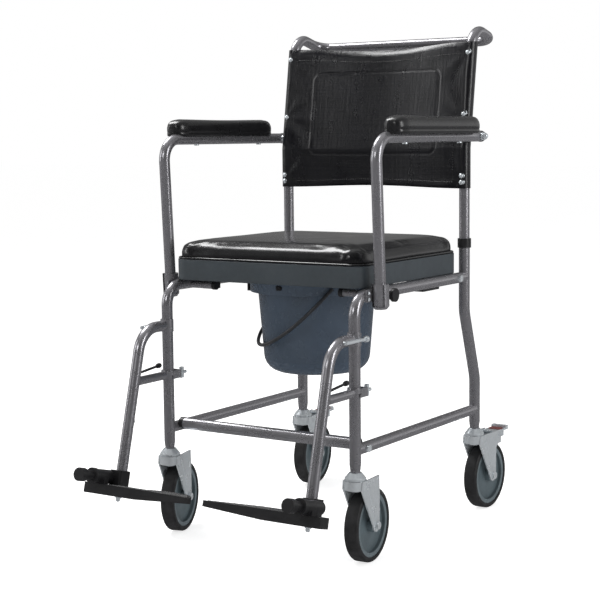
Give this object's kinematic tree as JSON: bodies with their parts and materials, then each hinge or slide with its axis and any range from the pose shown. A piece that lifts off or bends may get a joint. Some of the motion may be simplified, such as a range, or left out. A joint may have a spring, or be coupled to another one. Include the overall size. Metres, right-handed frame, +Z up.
{
  "type": "wheeled commode chair",
  "caption": "Wheeled commode chair: tubular frame on braked castors, lift-off padded seat over a slide-out pail, sling back, lift-up arms, swing-away footrests.",
  "frame": {"origin": "on the floor, under the centre of the whole envelope at rest", "axes": "-Y is the chair's front, +X is the left hand of a person sitting in it and the right hand of a viewer in front, +Z is up"},
  "size_m": [0.4972, 0.7796, 0.9173],
  "materials": {
    "frame_tube": "silver-grey powder coat, satin",
    "backrest_vinyl": "black vinyl-coated sling, fine grain, glossy",
    "cushion_vinyl": "smooth black padded vinyl, glossy",
    "arm_pad": "moulded black integral-skin foam, satin",
    "shell_plastic": "slate-grey moulded plastic, satin",
    "pail_plastic": "blue-grey moulded plastic, satin",
    "black_plastic": "black moulded plastic, satin",
    "zinc_steel": "bright zinc-plated pressed steel",
    "hub_plastic": "grey-blue moulded plastic, satin",
    "tyre_rubber": "black thermoplastic rubber"
  },
  "bodies": {
    "frame": {"side_frame_left": "frame_tube", "side_frame_right": "frame_tube", "front_cross_tube": "frame_tube", "rear_cross_tube": "frame_tube", "cross_tube_rings": "black_plastic", "cross_tube_bolts": "zinc_steel", "back_frame": "frame_tube", "upright_collars": "black_plastic", "backrest_sling": "backrest_vinyl", "backrest_screws": "zinc_steel", "arm_sockets": "frame_tube", "socket_rivets": "zinc_steel", "arm_pivot_bolts": "zinc_steel", "castor_stems": "zinc_steel", "seat_shell": "shell_plastic", "seat_clips": "black_plastic", "pail_runners": "black_plastic"},
    "cushion": {"seat_cushion": "cushion_vinyl"},
    "pail": {"pail": "pail_plastic"},
    "pail_handle": {"pail_handle": "pail_plastic"},
    "armrest_left": {"arm_tube_left": "frame_tube", "arm_pad_left": "arm_pad", "arm_pad_screws_left": "zinc_steel", "arm_end_cap_left": "black_plastic"},
    "arm_lock_left": {"arm_lock_left": "black_plastic"},
    "armrest_right": {"arm_tube_right": "frame_tube", "arm_pad_right": "arm_pad", "arm_pad_screws_right": "zinc_steel", "arm_end_cap_right": "black_plastic"},
    "arm_lock_right": {"arm_lock_right": "black_plastic"},
    "castor_front_left": {"castor_fork_front_left": "zinc_steel", "castor_axle_front_left": "zinc_steel"},
    "wheel_front_left": {"castor_hub_front_left": "hub_plastic", "castor_tyre_front_left": "tyre_rubber"},
    "castor_front_right": {"castor_fork_front_right": "zinc_steel", "castor_axle_front_right": "zinc_steel"},
    "wheel_front_right": {"castor_hub_front_right": "hub_plastic", "castor_tyre_front_right": "tyre_rubber"},
    "castor_rear_left": {"castor_fork_rear_left": "zinc_steel", "castor_axle_rear_left": "zinc_steel"},
    "wheel_rear_left": {"castor_hub_rear_left": "hub_plastic", "castor_tyre_rear_left": "tyre_rubber"},
    "castor_rear_right": {"castor_fork_rear_right": "zinc_steel", "castor_axle_rear_right": "zinc_steel"},
    "wheel_rear_right": {"castor_hub_rear_right": "hub_plastic", "castor_tyre_rear_right": "tyre_rubber"},
    "brake_left": {"brake_pedal_left": "zinc_steel"},
    "footrest_left": {"hanger_left": "frame_tube", "hanger_hook_left": "zinc_steel"},
    "latch_left": {"latch_lever_left": "zinc_steel"},
    "footplate_post_left": {"footplate_elbow_left": "black_plastic", "footplate_pin_left": "black_plastic"},
    "footplate_left": {"footplate_left": "black_plastic"},
    "brake_right": {"brake_pedal_right": "zinc_steel"},
    "footrest_right": {"hanger_right": "frame_tube", "hanger_hook_right": "zinc_steel"},
    "latch_right": {"latch_lever_right": "zinc_steel"},
    "footplate_post_right": {"footplate_elbow_right": "black_plastic", "footplate_pin_right": "black_plastic"},
    "footplate_right": {"footplate_right": "black_plastic"}
  },
  "joints": [
    {"name": "cushion_lift", "type": "slide", "parent": "frame", "child": "cushion", "axis": [0, 0, 1], "range_m": [0, 0.1]},
    {"name": "pail_slide", "type": "slide", "parent": "frame", "child": "pail", "axis": [0, -1, 0], "range_m": [0, 0.3]},
    {"name": "pail_handle_swing", "type": "hinge", "parent": "pail", "child": "pail_handle", "pos_m": [0, 0.0318, 0.45], "axis": [-0.6947, 0.7193, 0], "range_deg": [0, 24]},
    {"name": "armrest_lift_left", "type": "hinge", "parent": "frame", "child": "armrest_left", "pos_m": [-0.2196, 0.24046, 0.714], "axis": [-1, 0, 0], "range_deg": [0, 100]},
    {"name": "arm_lock_pull_left", "type": "slide", "parent": "frame", "child": "arm_lock_left", "axis": [0, 1, 0], "range_m": [0, 0.01]},
    {"name": "armrest_lift_right", "type": "hinge", "parent": "frame", "child": "armrest_right", "pos_m": [0.2196, 0.24046, 0.714], "axis": [-1, 0, 0], "range_deg": [0, 100]},
    {"name": "arm_lock_pull_right", "type": "slide", "parent": "frame", "child": "arm_lock_right", "axis": [0, 1, 0], "range_m": [0, 0.01]},
    {"name": "castor_swivel_front_left", "type": "hinge", "parent": "frame", "child": "castor_front_left", "pos_m": [-0.195, -0.1592, 0.148], "axis": [0, 0, 1], "continuous": true},
    {"name": "wheel_spin_front_left", "type": "hinge", "parent": "castor_front_left", "child": "wheel_front_left", "pos_m": [-0.20587, -0.11863, 0.0635], "axis": [0.9659, 0.2588, 0], "continuous": true},
    {"name": "castor_swivel_front_right", "type": "hinge", "parent": "frame", "child": "castor_front_right", "pos_m": [0.195, -0.1592, 0.148], "axis": [0, 0, 1], "continuous": true},
    {"name": "wheel_spin_front_right", "type": "hinge", "parent": "castor_front_right", "child": "wheel_front_right", "pos_m": [0.19207, -0.1173, 0.0635], "axis": [0.9976, 0.0698, 0], "continuous": true},
    {"name": "castor_swivel_rear_left", "type": "hinge", "parent": "frame", "child": "castor_rear_left", "pos_m": [-0.195, 0.2808, 0.148], "axis": [0, 0, 1], "continuous": true},
    {"name": "wheel_spin_rear_left", "type": "hinge", "parent": "castor_rear_left", "child": "wheel_rear_left", "pos_m": [-0.19866, 0.32264, 0.0635], "axis": [0.9962, 0.0872, 0], "continuous": true},
    {"name": "castor_swivel_rear_right", "type": "hinge", "parent": "frame", "child": "castor_rear_right", "pos_m": [0.195, 0.2808, 0.148], "axis": [0, 0, 1], "continuous": true},
    {"name": "wheel_spin_rear_right", "type": "hinge", "parent": "castor_rear_right", "child": "wheel_rear_right", "pos_m": [0.19647, 0.32277, 0.0635], "axis": [0.9994, -0.0349, 0], "continuous": true},
    {"name": "brake_press_left", "type": "hinge", "parent": "castor_rear_left", "child": "brake_left", "pos_m": [-0.20075, 0.34655, 0.139], "axis": [-0.9962, -0.0872, 0], "range_deg": [0, 7.5]},
    {"name": "brake_press_right", "type": "hinge", "parent": "castor_rear_right", "child": "brake_right", "pos_m": [0.1973, 0.34676, 0.139], "axis": [-0.9994, 0.0349, 0], "range_deg": [0, 7.5]},
    {"name": "footrest_swing_left", "type": "hinge", "parent": "frame", "child": "footrest_left", "pos_m": [-0.195, -0.1592, 0.3845], "axis": [0, 0, -1], "range_deg": [0, 90]},
    {"name": "latch_turn_left", "type": "hinge", "parent": "footrest_left", "child": "latch_left", "pos_m": [-0.195, -0.1592, 0.294], "axis": [0, 1, 0], "range_deg": [0, 90]},
    {"name": "footplate_height_left", "type": "slide", "parent": "footrest_left", "child": "footplate_post_left", "axis": [0, -0.2504, -0.9681], "range_m": [0, 0.05]},
    {"name": "footplate_flip_left", "type": "hinge", "parent": "footplate_post_left", "child": "footplate_left", "pos_m": [-0.211, -0.29692, 0.13257], "axis": [0, -0.9681, 0.2504], "range_deg": [0, 78]},
    {"name": "footrest_swing_right", "type": "hinge", "parent": "frame", "child": "footrest_right", "pos_m": [0.195, -0.1592, 0.3845], "axis": [0, 0, 1], "range_deg": [0, 90]},
    {"name": "latch_turn_right", "type": "hinge", "parent": "footrest_right", "child": "latch_right", "pos_m": [0.195, -0.1592, 0.294], "axis": [0, 1, 0], "range_deg": [0, 90]},
    {"name": "footplate_height_right", "type": "slide", "parent": "footrest_right", "child": "footplate_post_right", "axis": [0, -0.2504, -0.9681], "range_m": [0, 0.05]},
    {"name": "footplate_flip_right", "type": "hinge", "parent": "footplate_post_right", "child": "footplate_right", "pos_m": [0.211, -0.29692, 0.13257], "axis": [0, 0.9681, -0.2504], "range_deg": [0, 78]}
  ]
}
